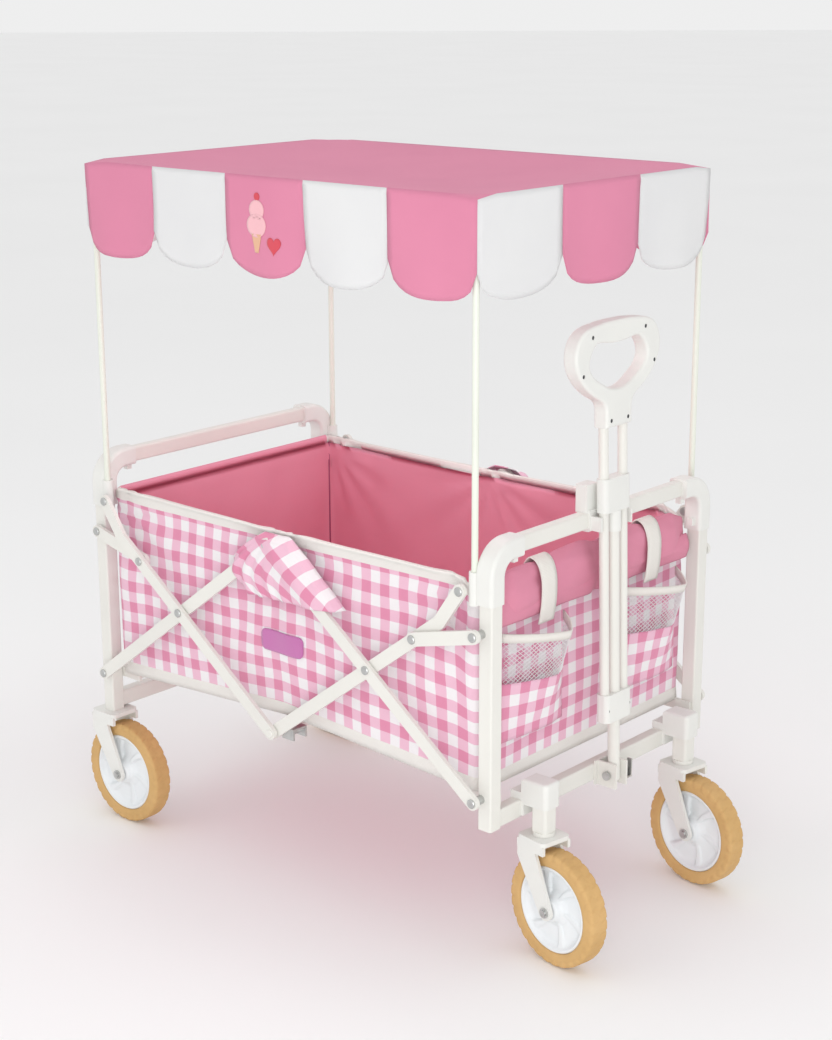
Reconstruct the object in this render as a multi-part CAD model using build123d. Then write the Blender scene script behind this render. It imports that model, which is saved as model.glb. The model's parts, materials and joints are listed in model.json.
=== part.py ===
from build123d import *
from math import atan2, cos, degrees, hypot, sin, sqrt
import os

# Folding wagon with a pull handle and a canopy.  Millimetres, +Z up, +X towards the handle end.
# "near" is the -Y side and "far" the +Y side.  Heights are above the ground the wheels stand on.
# Lengths along X are measured from the middle of the tub, which sits at TUB_X in the row frame,
# so that the row's origin is under the middle of the whole wagon.
TUB_X = -54.1

# ---- posts, rails and their heights
POST_X = 425.0            # post centres, from the tub's middle
POST_Y = 265.0
POST = 25.0               # square tube
RAIL_X = 422.0            # the top end rails sit a little inside the posts
RAIL_Z = 647.0
RAIL_DEEP = 18.0
RAIL_TALL = 26.0
LOWER_TALL = 28.0
FRONT_POST_BOTTOM = 222.0
REAR_POST_BOTTOM = 198.0
ELBOW_BEND = 38.0
ELBOW_WALL = 3.5
ELBOW_DEEP = 33.0

# ---- scissor linkage of each long side, seen from the side
PIVOT_X = 419.0           # lower pivots, on the posts
PIVOT_Z = 271.0
CROSS_RISE = 157.0        # from a lower pivot up to the crossing
SHORT_RISE = 256.0        # from a lower pivot up to the short link's pivot
FOLDED_SPAN = 182.0       # lower pivot to lower pivot when folded
LINK_TALL = 21.0
INNER_LAYER = (284.0, 291.0)
OUTER_LAYER = (292.5, 299.5)
BRACKET_Y = INNER_LAYER[0] - 30    # inner ear of the bottom centre bracket
HOOK_X = 386.0            # upper ends of the links that carry the bag's corners
HOOK_Z = 587.0
PIN_R = 4.0
PIN_GAP = 0.05            # radial running clearance of a pin in a link
HEAD_R = 7.0
HEAD = 2.7
HEAD_GAP = 0.3

# ---- floor: hinged arms that carry stiff boards
FLOOR_PIVOT_X = 376.0
FLOOR_PIVOT_Z = 266.0
FLOOR_SLOPE = 3.2         # degrees up towards the middle
LUG_Y = 248.0             # hinge lugs stand between this and the post
ARM_R = 5.0
BOARD_END = 48.0          # a board and its arms stop this far from the middle
BOARD_Y = 244.0
BOARD_THICK = 9.0

# ---- wheels and forks
WHEEL_R = 90.0
TYRE_WIDE = 34.0
RIM_R = 68.0
TRAIL = 34.0              # hub centre ahead of the fork's own axis
FORK_TOP = 198.0
FORK_LEG = (23.0, 28.5)   # distance of a fork leg's faces from the wheel's middle plane
STEM_X = 465.0
STEM_Y = 185.0
STEM = 28.0
CASTER_TURN = -9.0        # degrees, both casters at rest

# ---- handle
TILT_X = 459.0            # handle pivot
TILT_Z = 236.0
LEAN = 1.8                # degrees, towards the tub
TUBE_Y = 24.0
TUBE_R = 7.5
STEM_R = 9.5
GRIP_HALF = 106.0
GRIP_WIDEST_Z = 902.0
GRIP_TOP_Z = 950.0
GRIP_NECK_Z = 790.0
GRIP_THICK = 13.0         # half of the grip's thickness
SLEEVE_Z = (660.0, 712.0)
SLIDER_Z = (327.0, 372.0)
COLUMN_TOP = 704.0

# ---- canopy and bag
POLE_X = 403.0
POLE_Y = 275.0
POLE_R = 5.0
SOCKET_Z = (567.0, 617.0)
CANOPY_X = 412.0
CANOPY_Y = 284.0
CANOPY_Z = 1150.0
VALANCE = 152.0
CLOTH = 4.0
SKIRT = 3.0
BAG_X = 402.0
BAG_Y = 262.0
BAG_Z = (282.0, 600.0)

# ---- worked out from the dimensions above
half_link = hypot(PIVOT_X / 2, CROSS_RISE)
rest_angle = atan2(CROSS_RISE, PIVOT_X / 2)
folded_cos = FOLDED_SPAN / (4 * half_link)
folded_sin = sqrt(1 - folded_cos ** 2)
top_z = PIVOT_Z + 2 * CROSS_RISE
# The short link meets the long link at the one distance from the long link's foot that leaves
# the short link the same length unfolded and folded.
cos_drop = cos(rest_angle) ** 2 - folded_cos ** 2
sin_gain = folded_sin - sin(rest_angle)
short_reach = 4 * half_link ** 2 * cos_drop / (4 * half_link * cos_drop - 2 * SHORT_RISE * sin_gain)
short_x = short_reach * cos(rest_angle)
short_z = PIVOT_Z + short_reach * sin(rest_angle)
SHORT_POST_Z = PIVOT_Z + SHORT_RISE

nodes = {}


def block(x, y, z):
    """A box between two values along each axis."""
    size = Box(x[1] - x[0], y[1] - y[0], z[1] - z[0])
    return Pos((x[0] + x[1]) / 2, (y[0] + y[1]) / 2, (z[0] + z[1]) / 2) * size


def span_y(side, inner, outer):
    """The Y values, in order, of two distances from the middle on one side (-1 near, +1 far)."""
    return tuple(sorted((side * inner, side * outer)))


def rod_y(x, z, y, radius):
    """A round bar along Y."""
    bar = Rot(90, 0, 0) * Cylinder(radius, abs(y[1] - y[0]))
    return Pos(x, (y[0] + y[1]) / 2, z) * bar


def rod_z(x, y, z, radius):
    """A round bar along Z."""
    return Pos(x, y, (z[0] + z[1]) / 2) * Cylinder(radius, z[1] - z[0])


def tube_z(x, y, z, wide, deep, corner):
    """A solid bar of rounded rectangular section along Z."""
    return Pos(x, y, z[0]) * extrude(RectangleRounded(deep, wide, corner), z[1] - z[0])


def tube_y(x, z, y, deep, tall, corner):
    """A solid bar of rounded rectangular section along Y."""
    bar = extrude(RectangleRounded(deep, tall, corner), y[1] - y[0])
    return Pos(x, y[1], z) * Rot(90, 0, 0) * bar


def plate_y(outline, y):
    """An outline drawn in X and Z, as a plate between two Y values."""
    return Pos(0, max(y), 0) * Rot(90, 0, 0) * extrude(outline, abs(y[1] - y[0]))


def strap(points, tall):
    """The outline of a flat bar of round ends through points in X and Z."""
    outline = None
    for (x0, z0), (x1, z1) in zip(points, points[1:]):
        length = hypot(x1 - x0, z1 - z0)
        turn = degrees(atan2(z1 - z0, x1 - x0))
        piece = Pos((x0 + x1) / 2, (z0 + z1) / 2) * Rot(0, 0, turn) * SlotCenterToCenter(length, tall)
        outline = piece if outline is None else outline + piece
    return outline


def link_pair(points, layer, holes):
    """One flat link on each long side, with its holes as (x, z, radius)."""
    pair = []
    for side in (-1, 1):
        link = plate_y(strap(points, LINK_TALL), span_y(side, *layer))
        for x, z, radius in holes:
            link -= rod_y(x, z, span_y(side, layer[0] - 1, layer[1] + 1), radius)
        pair.append(link)
    return pair


def pin(side, x, z, start, through, spacer_end=None):
    """A rivet: a spacer from start, a shaft to the outer face 'through' and a domed head."""
    shaft = rod_y(x, z, span_y(side, start, through + HEAD_GAP), PIN_R)
    if spacer_end is not None:
        shaft += rod_y(x, z, span_y(side, start, spacer_end), HEAD_R)
    head = rod_y(x, z, span_y(side, through + HEAD_GAP, through + HEAD_GAP + HEAD), HEAD_R)
    rim_y = side * (through + HEAD_GAP + HEAD)
    circles = head.edges().filter_by(GeomType.CIRCLE)
    head = chamfer(circles.filter_by(lambda edge: abs(edge.center().Y - rim_y) < 0.01), 1.2)
    return shaft + head


def keep(name, *solids):
    """Put solids under one node name."""
    nodes[name] = list(solids)


# ------------------------------------------------------------------ end frames
def end_frame(name, end):
    """Posts, top rail, lower rail and corner elbows of one end (-1 rear, +1 front)."""
    x = end * POST_X
    bottom = FRONT_POST_BOTTOM if end > 0 else REAR_POST_BOTTOM
    posts = [tube_z(x, side * POST_Y, (bottom, 600), POST, POST, 3) for side in (-1, 1)]
    bores = [tube_z(x, side * POST_Y, (bottom - 1, 601), POST - 3, POST - 3, 2) for side in (-1, 1)]
    welded = []
    for side, post, bore in zip((-1, 1), posts, bores):
        lug = block(
            tuple(sorted((end * (POST_X + 8), end * (FLOOR_PIVOT_X - 8)))),
            span_y(side, LUG_Y, POST_Y - POST / 2),
            (FLOOR_PIVOT_Z - 9, FLOOR_PIVOT_Z + 9))
        lug -= rod_y(end * FLOOR_PIVOT_X, FLOOR_PIVOT_Z, span_y(side, LUG_Y - 1, POST_Y), PIN_R + PIN_GAP)
        welded.append(post - bore + lug)
    keep(name + "_posts", *welded)

    rail_x = end * RAIL_X
    reach = POST_Y - ELBOW_BEND - 6
    top_rail = tube_y(rail_x, RAIL_Z, (-reach, reach), RAIL_DEEP, RAIL_TALL, 4)
    rail_bore = tube_y(rail_x, RAIL_Z, (-reach - 1, reach + 1), RAIL_DEEP - 3, RAIL_TALL - 3, 2.5)
    keep(name + "_top_rail", top_rail - rail_bore)

    lower_z = (FRONT_POST_BOTTOM if end > 0 else 201) + LOWER_TALL / 2
    inside = POST_Y - POST / 2
    lower_rail = tube_y(x, lower_z, (-inside, inside), 20, LOWER_TALL, 3)
    lower_bore = tube_y(x, lower_z, (-inside - 1, inside + 1), 17, LOWER_TALL - 3, 2)
    keep(name + "_lower_rail", lower_rail - lower_bore)
    keep(name + "_elbows", *[elbow(end, side, posts, top_rail) for side in (-1, 1)])


def elbow(end, side, posts, top_rail):
    """A moulded corner: sleeve on the post, bend to the rail, pole socket and two small hooks."""
    x = end * (POST_X + RAIL_X) / 2
    post_y = side * POST_Y
    low = Vector(x, post_y, 570)
    bend_start = Vector(x, post_y, RAIL_Z - ELBOW_BEND)
    bend_end = Vector(x, side * (POST_Y - ELBOW_BEND), RAIL_Z)
    rail_end = Vector(x, side * (POST_Y - ELBOW_BEND - 20), RAIL_Z)
    bend = TangentArc(bend_start, bend_end, tangent=(0, 0, 1))
    path = Line(low, bend_start) + bend + Line(bend_end, rail_end)
    section = Plane(origin=low, z_dir=(0, 0, 1)) * RectangleRounded(ELBOW_DEEP, POST + 2 * ELBOW_WALL, 6)
    body = sweep(section, path)
    collar = rod_z(end * POLE_X, side * POLE_Y, SOCKET_Z, POLE_R + 3.5)
    web = block(
        tuple(sorted((end * POLE_X, end * (POLE_X + 6)))),
        span_y(side, POST_Y, POLE_Y),
        SOCKET_Z,
    )
    hook_y = side * (POST_Y - ELBOW_BEND - 14)
    hook = block((x - 5, x + 5), tuple(sorted((hook_y - 5, hook_y + 5))), (RAIL_Z - 25, RAIL_Z - 14))
    inner = span_y(side, POST_Y - POST / 2 - ELBOW_WALL - 6, POST_Y - POST / 2 - ELBOW_WALL + 1)
    hook += block((x - 5, x + 5), inner, (578, 590))
    body = body + collar + web + hook
    body -= rod_z(end * POLE_X, side * POLE_Y, (SOCKET_Z[0] + 4, RAIL_Z + 50), POLE_R + PIN_GAP)
    for filled in posts + [top_rail]:
        body -= filled
    return body


# ------------------------------------------------------------------ side scissors
def scissors():
    """The four long links, the four short links and the rivets of both long sides."""
    foot_rear = (-PIVOT_X, PIVOT_Z)
    foot_front = (PIVOT_X, PIVOT_Z)
    cross_rear = (-PIVOT_X / 2, PIVOT_Z + CROSS_RISE)
    cross_front = (PIVOT_X / 2, PIVOT_Z + CROSS_RISE)
    top = (0.0, top_z)
    low = (0.0, PIVOT_Z)
    loose = PIN_R + PIN_GAP

    keep("scissor_links_b", *link_pair(
        [foot_rear, top], INNER_LAYER,
        [(*foot_rear, loose), (*cross_rear, PIN_R), (*top, PIN_R)]))
    keep("scissor_links_c", *link_pair(
        [top, foot_front], OUTER_LAYER,
        [(*foot_front, loose), (*cross_front, PIN_R), (*top, loose)]))
    bend_x = PIVOT_X / 2 * 1.66
    bend_z = PIVOT_Z + CROSS_RISE * 1.66
    keep("scissor_links_a", *link_pair(
        [low, (-bend_x, bend_z), (-HOOK_X, HOOK_Z)], OUTER_LAYER,
        [(*low, PIN_R), (*cross_rear, loose), (-HOOK_X, HOOK_Z, PIN_R), (-short_x, short_z, PIN_R)]))
    keep("scissor_links_d", *link_pair(
        [low, (bend_x, bend_z), (HOOK_X, HOOK_Z)], INNER_LAYER,
        [(*low, loose), (*cross_front, loose), (HOOK_X, HOOK_Z, PIN_R)]))

    post_rear = (-PIVOT_X, SHORT_POST_Z)
    post_front = (PIVOT_X, SHORT_POST_Z)
    keep("short_links_rear", *link_pair([post_rear, (-short_x, short_z)], INNER_LAYER, [(*post_rear, loose)]))
    keep("short_links_front", *link_pair(
        [post_front, (short_x, short_z)], OUTER_LAYER, [(*post_front, loose), (short_x, short_z, PIN_R)]))

    face = POST_Y + POST / 2
    near_layer = INNER_LAYER[0] - HEAD_GAP
    far_layer = OUTER_LAYER[0] - HEAD_GAP
    rear, front, on_a, on_b, on_c, on_d, on_short = [], [], [], [], [], [], []
    for side in (-1, 1):
        for spot in (foot_rear, post_rear):
            rear.append(pin(side, *spot, face, INNER_LAYER[1], near_layer))
        for spot in (foot_front, post_front):
            front.append(pin(side, *spot, face, OUTER_LAYER[1], far_layer))
        for spot in (cross_rear, top):
            on_b.append(pin(side, *spot, INNER_LAYER[0], OUTER_LAYER[1]))
        on_c.append(pin(side, *cross_front, near_layer, OUTER_LAYER[1] - HEAD_GAP))
        on_a.append(pin(side, -HOOK_X, HOOK_Z, OUTER_LAYER[0] - 3, OUTER_LAYER[1] - HEAD_GAP, OUTER_LAYER[0]))
        on_a.append(pin(side, -short_x, short_z, OUTER_LAYER[0], OUTER_LAYER[1] - HEAD_GAP))
        on_d.append(pin(side, HOOK_X, HOOK_Z, INNER_LAYER[0] - 3, INNER_LAYER[1] - HEAD_GAP, INNER_LAYER[0]))
        on_short.append(pin(side, short_x, short_z, OUTER_LAYER[0], OUTER_LAYER[1] - HEAD_GAP))

    # The cross tube joins the feet of both outer links and turns in the feet of the inner ones.
    tube_end = INNER_LAYER[0] - HEAD_GAP
    cross = rod_y(0, PIVOT_Z, (-tube_end, tube_end), 10)
    for side in (-1, 1):
        cross += pin(side, 0, PIVOT_Z, tube_end - 1, OUTER_LAYER[1] - HEAD_GAP)
    keep("cross_tube", cross)

    # A plated bracket on the foot of each inner link, beside the cross tube.
    for side in (-1, 1):
        plate = block((13, 38), span_y(side, BRACKET_Y, INNER_LAYER[0]), (PIVOT_Z + 7, PIVOT_Z + 11))
        ear = block((13, 38), span_y(side, INNER_LAYER[0] - 3, INNER_LAYER[0]), (PIVOT_Z - 8, PIVOT_Z + 7))
        far_ear = block((13, 38), span_y(side, BRACKET_Y, BRACKET_Y + 3), (PIVOT_Z - 8, PIVOT_Z + 7))
        bolt = rod_y(25, PIVOT_Z, span_y(side, INNER_LAYER[0] - 33, INNER_LAYER[0] - 3), 3.5)
        on_d.append(plate + ear + far_ear + bolt)
    keep("rear_rivets", *rear)
    keep("link_a_rivets", *on_a)
    keep("link_b_rivets", *on_b)
    keep("link_c_rivets", *on_c)
    keep("link_d_brackets", *on_d)
    keep("short_link_rivets", *on_short)
    return front


# ------------------------------------------------------------------ floor
def floor_half(name, end, arm_y):
    """A pair of floor arms on a hinge tube, and the stiff padded board they lift."""
    place = Pos(end * FLOOR_PIVOT_X, 0, FLOOR_PIVOT_Z) * Rot(0, end * FLOOR_SLOPE, 0)
    reach = FLOOR_PIVOT_X - BOARD_END
    hinge = Cylinder(ARM_R + 2, 2 * (LUG_Y - HEAD_GAP)) + Cylinder(PIN_R, 2 * (POST_Y - POST / 2 - HEAD_GAP))
    arms = [place * Rot(90, 0, 0) * hinge]
    for side in (-1, 1):
        arm = Rot(0, 90, 0) * Cylinder(ARM_R, reach - ARM_R - 2)
        arms.append(place * Pos(-end * (reach + ARM_R + 2) / 2, side * arm_y, 0) * arm)
    keep("floor_arms_" + name, *arms)
    board = Box(reach - 12, 2 * BOARD_Y, BOARD_THICK)
    board = fillet(board.edges().filter_by(Axis.Y), 3)
    keep("floor_board_" + name, place * Pos(-end * (reach + 12) / 2, 0, ARM_R + 3 + BOARD_THICK / 2) * board)


# ------------------------------------------------------------------ wheels
def wheel(name, place):
    """A solid tyre on a moulded rim with five spokes."""
    half = TYRE_WIDE / 2
    tread = Polyline(
        (RIM_R, -half + 2), (WHEEL_R - 5, -half), (WHEEL_R, -half + 6), (WHEEL_R, half - 6),
        (WHEEL_R - 5, half), (RIM_R, half - 2), close=True)
    tyre = revolve(Plane.XZ * make_face(tread), Axis.Z)
    keep("tyre_" + name, place * (Rot(90, 0, 0) * tyre))

    rim = Cylinder(RIM_R, TYRE_WIDE - 6) - Cylinder(RIM_R - 4, TYRE_WIDE)
    rim += Cylinder(RIM_R - 2, 7)
    rim += Cylinder(14, 42)
    for spoke in range(6):
        rim += Rot(0, 0, spoke * 60) * Pos(RIM_R / 2 + 4, 0, 0) * Box(RIM_R - 16, 8, 18)
    rim -= Cylinder(PIN_R + 1 + PIN_GAP, 60)
    keep("rim_" + name, place * (Rot(90, 0, 0) * rim))


def fork():
    """A moulded fork about its own upright axis, with its wheel's hub at (TRAIL, 0, WHEEL_R)."""
    inner, outer = FORK_LEG
    top = extrude(Pos(0, 0, FORK_TOP - 7) * RectangleRounded(58, 2 * outer, 8), 7)
    leg = make_hull(
        (Pos(TRAIL, WHEEL_R) * Circle(13)).edges()
        + (Pos(-10, FORK_TOP - 22) * RectangleRounded(34, 30, 5)).edges())
    solid = top
    for side in (-1, 1):
        solid += plate_y(leg, span_y(side, inner, outer))
        solid += plate_y(Pos(0, FORK_TOP - 13) * Rectangle(56, 14), span_y(side, inner, outer))
        solid -= rod_y(TRAIL, WHEEL_R, span_y(side, inner - 1, outer + 1), PIN_R + 1)
    return solid


def axle():
    """The wheel bolt with its two heads, on the same axis as the fork's holes."""
    outer = FORK_LEG[1]
    bolt = rod_y(TRAIL, WHEEL_R, (-outer, outer), PIN_R + 1)
    for side in (-1, 1):
        bolt += rod_y(TRAIL, WHEEL_R, span_y(side, outer, outer + 3), 8)
        bolt += rod_y(TRAIL, WHEEL_R, span_y(side, outer + 3, outer + 5), 5)
    return bolt


def running_gear():
    """Two fixed rear forks under the posts and two swivelling front forks under their stems."""
    rear_forks, rear_axles = [], []
    for side, name in ((-1, "near"), (1, "far")):
        under_post = Pos(-POST_X, side * POST_Y, 0)
        rear_forks.append(under_post * fork())
        rear_axles.append(under_post * axle())
        wheel("rear_" + name, under_post * Pos(TRAIL, 0, WHEEL_R))

        turned = Pos(STEM_X, side * STEM_Y, 0) * Rot(0, 0, CASTER_TURN)
        kingpin = rod_z(0, 0, (FORK_TOP - 1, FORK_TOP + 42), 6)
        keep("fork_front_" + name, turned * (fork() + kingpin))
        keep("axle_front_" + name, turned * axle())
        wheel("front_" + name, turned * Pos(TRAIL, 0, WHEEL_R))
    keep("rear_forks", *rear_forks)
    keep("rear_axles", *rear_axles)

    stems, housings = [], []
    for side in (-1, 1):
        y = side * STEM_Y
        stem = tube_z(STEM_X, y, (FORK_TOP + 6, 274), STEM, STEM, 5)
        stem += rod_z(STEM_X, y, (FORK_TOP + HEAD_GAP, FORK_TOP + 6), 17)
        stem -= rod_z(STEM_X, y, (FORK_TOP - 1, FORK_TOP + 44), 6 + PIN_GAP)
        stems.append(stem)
        face = POST_X + 10
        housing = block((face, STEM_X + 18), (y - 18, y + 18), (244, 284))
        housing = fillet(housing.edges().filter_by(Axis.Z).group_by(Axis.X)[-1], 8)
        housing = fillet(housing.faces().sort_by(Axis.Z)[-1].edges(), 5)
        lip = block((POST_X - 10, face), (y - 18, y + 18), (FRONT_POST_BOTTOM + LOWER_TALL, 262))
        flange = block((face, face + 5), (y - 18, y + 18), (226, 244))
        housings.append(housing + lip + flange - stem)
    keep("caster_stems", *stems)
    keep("caster_housings", *housings)


# ------------------------------------------------------------------ handle


def grip_outline():
    """The grip's closed outline and its hand opening, in Y and Z, as one face."""
    wide = GRIP_HALF
    right = Spline(
        (32, GRIP_NECK_Z + 24), (52, 838), (86, 862), (wide, GRIP_WIDEST_Z),
        (88, 938), (46, 948), (0, GRIP_TOP_Z),
        tangents=[(0, 1), (-1, 0)])
    left = mirror(right, Plane.YZ)
    neck = Polyline((-32, GRIP_NECK_Z + 24), (-32, GRIP_NECK_Z), (32, GRIP_NECK_Z), (32, GRIP_NECK_Z + 24))
    face = make_face(right + left + neck)
    hole_right = Spline(
        (0, 847), (38, 858), (72, 892), (60, 914), (0, 916),
        tangents=[(1, 0), (-1, 0)])
    hole_left = mirror(hole_right, Plane.YZ)
    return face - make_face(hole_right + hole_left)


def column_part(solid):
    """Lean a solid drawn upright about the handle's pivot."""
    return Pos(TILT_X, 0, TILT_Z) * Rot(0, -LEAN, 0) * Pos(0, 0, -TILT_Z) * solid


def plate_x(outline, x):
    """An outline drawn in Y and Z, as a plate between two X values."""
    return Pos(x[0], 0, 0) * extrude(Plane.YZ * outline, x[1] - x[0])


def handle():
    """Two-tube telescopic handle with a two-shell grip."""
    outline = grip_outline()
    tube_bores = [rod_z(0, side * TUBE_Y, (GRIP_NECK_Z - 1, GRIP_NECK_Z + 30), TUBE_R) for side in (-1, 1)]
    front = plate_x(outline, (0, GRIP_THICK))
    rear = plate_x(outline, (-GRIP_THICK, 0))
    front = fillet(front.faces().sort_by(Axis.X)[-1].edges(), 5)
    rear = fillet(rear.faces().sort_by(Axis.X)[0].edges(), 5)
    screws = []
    for y, z in ((66, 931), (89, 877), (21, 801)):
        for side in (-1, 1):
            screw = Pos(GRIP_THICK - 2, side * y, z) * Rot(0, 90, 0) * Cylinder(3.2, 4)
            screws.append(screw)
            front -= Pos(-1, 0, 0) * screw
            front -= screw
    for bore in tube_bores:
        front -= bore
        rear -= bore
    screws = [Pos(-1, 0, 0) * screw for screw in screws]
    keep("grip_front_shell", column_part(front))
    keep("grip_rear_shell", column_part(rear))
    tubes = [rod_z(0, side * TUBE_Y, (SLIDER_Z[0] + 4, GRIP_NECK_Z + 30), TUBE_R) for side in (-1, 1)]
    hollows = [rod_z(0, side * TUBE_Y, (300, 900), TUBE_R - 1.5) for side in (-1, 1)]
    keep("handle_tubes", *[column_part(tube - hollow) for tube, hollow in zip(tubes, hollows)])

    stem = rod_z(0, 0, (TILT_Z - 10, COLUMN_TOP), STEM_R)
    stem -= rod_z(0, 0, (TILT_Z + 12, COLUMN_TOP - 5), STEM_R - 1.5)
    stem -= rod_y(0, TILT_Z, (-20, 20), PIN_R + PIN_GAP)
    keep("handle_stem", column_part(stem))

    sleeve = extrude(Pos(0, 0, SLEEVE_Z[0]) * RectangleRounded(22, 66, 9), SLEEVE_Z[1] - SLEEVE_Z[0])
    sleeve += rod_z(0, 0, (628, SLEEVE_Z[0]), STEM_R + 2.5)
    sleeve -= rod_z(0, 0, (600, COLUMN_TOP), STEM_R)
    for side in (-1, 1):
        sleeve -= rod_z(0, side * TUBE_Y, (600, 800), TUBE_R + PIN_GAP)
    keep("handle_sleeve", column_part(sleeve))

    slider = extrude(Pos(0, 0, SLIDER_Z[0]) * RectangleRounded(24, 66, 9), SLIDER_Z[1] - SLIDER_Z[0])
    slider -= rod_z(0, 0, (300, 400), STEM_R + PIN_GAP)
    for tube in tubes:
        slider -= tube
    for side in (-1, 1):
        screw = Pos(10.5, side * 24, 347) * Rot(0, 90, 0) * Cylinder(3.2, 2.5)
        screws.append(screw)
        slider -= screw
    keep("handle_slider", column_part(slider))
    keep("handle_screws", *[column_part(screw) for screw in screws])


def handle_mounts(front_pins):
    """The channel bracket, its plated clamp and the snap-in holder on the front rails."""
    face = POST_X + 10
    back = block((face, face + 4), (-20, 20), (216, 256))
    ear_out = TILT_X + 15
    bracket = back
    for side in (-1, 1):
        bracket += block((face + 4, ear_out), span_y(side, STEM_R + 2, STEM_R + 6), (216, 256))
    bracket -= rod_y(TILT_X, TILT_Z, (-30, 30), PIN_R)
    keep("handle_bracket", bracket)
    clamp = block((face + 4, ear_out - 4), (STEM_R + 6, STEM_R + 24), (222, 225))
    clamp += block((face + 4, face + 7), (STEM_R + 6, STEM_R + 24), (225, 252))
    clamp += block((ear_out - 12, ear_out - 4), (STEM_R + 21, STEM_R + 24), (225, 252))
    bolt = rod_y(TILT_X, TILT_Z, (-STEM_R - 8, STEM_R + 19), PIN_R)
    for y in ((-STEM_R - 12, -STEM_R - 8), (STEM_R + 6, STEM_R + 10)):
        bolt += rod_y(TILT_X, TILT_Z, y, 7)
    keep("front_hardware", *front_pins, clamp - bolt, bolt)

    rail_front = RAIL_X + RAIL_DEEP / 2
    holder = block((RAIL_X - 13, rail_front + 2.5), (-42, 42), (RAIL_Z - 17, RAIL_Z + 17))
    holder = fillet(holder.edges().filter_by(Axis.Y), 4)
    holder += block((RAIL_X - 13, RAIL_X + 8), (-46, -18), (RAIL_Z + 12, RAIL_Z + 56))
    for side in (-1, 1):
        holder += block((rail_front, rail_front + 22), span_y(side, 36, 40), (RAIL_Z - 14, RAIL_Z + 8))
    holder -= nodes["front_top_rail"][0]
    keep("handle_holder", holder)


# ------------------------------------------------------------------ canopy and bag
def canopy():
    """Four poles in their sockets, and the awning: a flat top with a hanging valance."""
    pole_z = (SOCKET_Z[0] + 4, CANOPY_Z - CLOTH)
    for name, end in (("rear", -1), ("front", 1)):
        poles = [rod_z(end * POLE_X, side * POLE_Y, pole_z, POLE_R) for side in (-1, 1)]
        keep("canopy_poles_" + name, *poles)
    top = block((-CANOPY_X, CANOPY_X), (-CANOPY_Y, CANOPY_Y), (CANOPY_Z - CLOTH, CANOPY_Z))
    skirt_z = (CANOPY_Z - VALANCE, CANOPY_Z - CLOTH)
    inside = CANOPY_Y - SKIRT
    skirts = []
    for side in (-1, 1):
        skirts.append(block((-CANOPY_X, CANOPY_X), span_y(side, inside, CANOPY_Y), skirt_z))
        skirts.append(block(span_y(side, CANOPY_X - SKIRT, CANOPY_X), (-inside, inside), skirt_z))
    keep("canopy_cloth", top, *skirts)


def bag():
    """The fabric tub as separate closed panels, open at the top."""
    floor_z, rim_z = BAG_Z
    keep("bag_rear_panel", block((-BAG_X, -BAG_X + 6), (-BAG_Y + 8, BAG_Y - 8), (floor_z, rim_z)))
    keep("bag_front_panel", block((BAG_X - 6, BAG_X), (-BAG_Y + 8, BAG_Y - 8), (floor_z, 556)))
    keep("bag_front_roll", rod_y(BAG_X + 4, 584, (-BAG_Y + 25, BAG_Y - 25), 20))
    for name, side in (("near", -1), ("far", 1)):
        keep("bag_side_" + name, block((-BAG_X, BAG_X), span_y(side, BAG_Y - 7, BAG_Y), (floor_z, rim_z)))
    gusset = block((-BOARD_END + 5, BOARD_END - 5), (-BAG_Y + 8, BAG_Y - 8), (296, 302))
    keep("bag_floor_gusset", gusset)


end_frame("rear", -1)
end_frame("front", 1)
front_rivets = scissors()
floor_half("rear", -1, 214)
floor_half("front", 1, 232)
running_gear()
handle()
handle_mounts(front_rivets)
canopy()
bag()

os.makedirs("parts", exist_ok=True)
for node, solids in nodes.items():
    placed = [Pos(TUB_X, 0, 0) * solid for solid in solids]
    export_step(placed[0] if len(placed) == 1 else Compound(children=placed), "parts/" + node + ".step")
print(len(nodes), "nodes")
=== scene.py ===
import json
import math

import bmesh
import bpy
from mathutils import Matrix, Vector, noise


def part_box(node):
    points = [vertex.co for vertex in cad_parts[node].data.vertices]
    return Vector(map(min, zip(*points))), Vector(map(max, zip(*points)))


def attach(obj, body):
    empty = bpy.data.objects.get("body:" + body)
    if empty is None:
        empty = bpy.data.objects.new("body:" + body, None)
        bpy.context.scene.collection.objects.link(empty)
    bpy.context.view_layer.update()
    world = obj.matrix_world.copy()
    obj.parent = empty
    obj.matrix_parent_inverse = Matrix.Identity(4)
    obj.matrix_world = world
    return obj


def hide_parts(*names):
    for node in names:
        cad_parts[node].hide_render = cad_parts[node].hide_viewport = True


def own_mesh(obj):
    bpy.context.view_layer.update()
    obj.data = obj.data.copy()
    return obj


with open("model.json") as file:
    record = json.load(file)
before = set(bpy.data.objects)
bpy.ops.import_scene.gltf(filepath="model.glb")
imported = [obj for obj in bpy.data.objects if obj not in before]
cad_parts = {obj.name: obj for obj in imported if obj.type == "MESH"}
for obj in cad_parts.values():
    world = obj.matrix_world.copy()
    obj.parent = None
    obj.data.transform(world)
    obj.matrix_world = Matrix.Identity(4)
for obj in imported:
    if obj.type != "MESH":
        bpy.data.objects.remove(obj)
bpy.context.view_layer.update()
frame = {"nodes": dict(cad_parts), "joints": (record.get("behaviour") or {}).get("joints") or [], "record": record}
scene = bpy.context.scene

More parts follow.
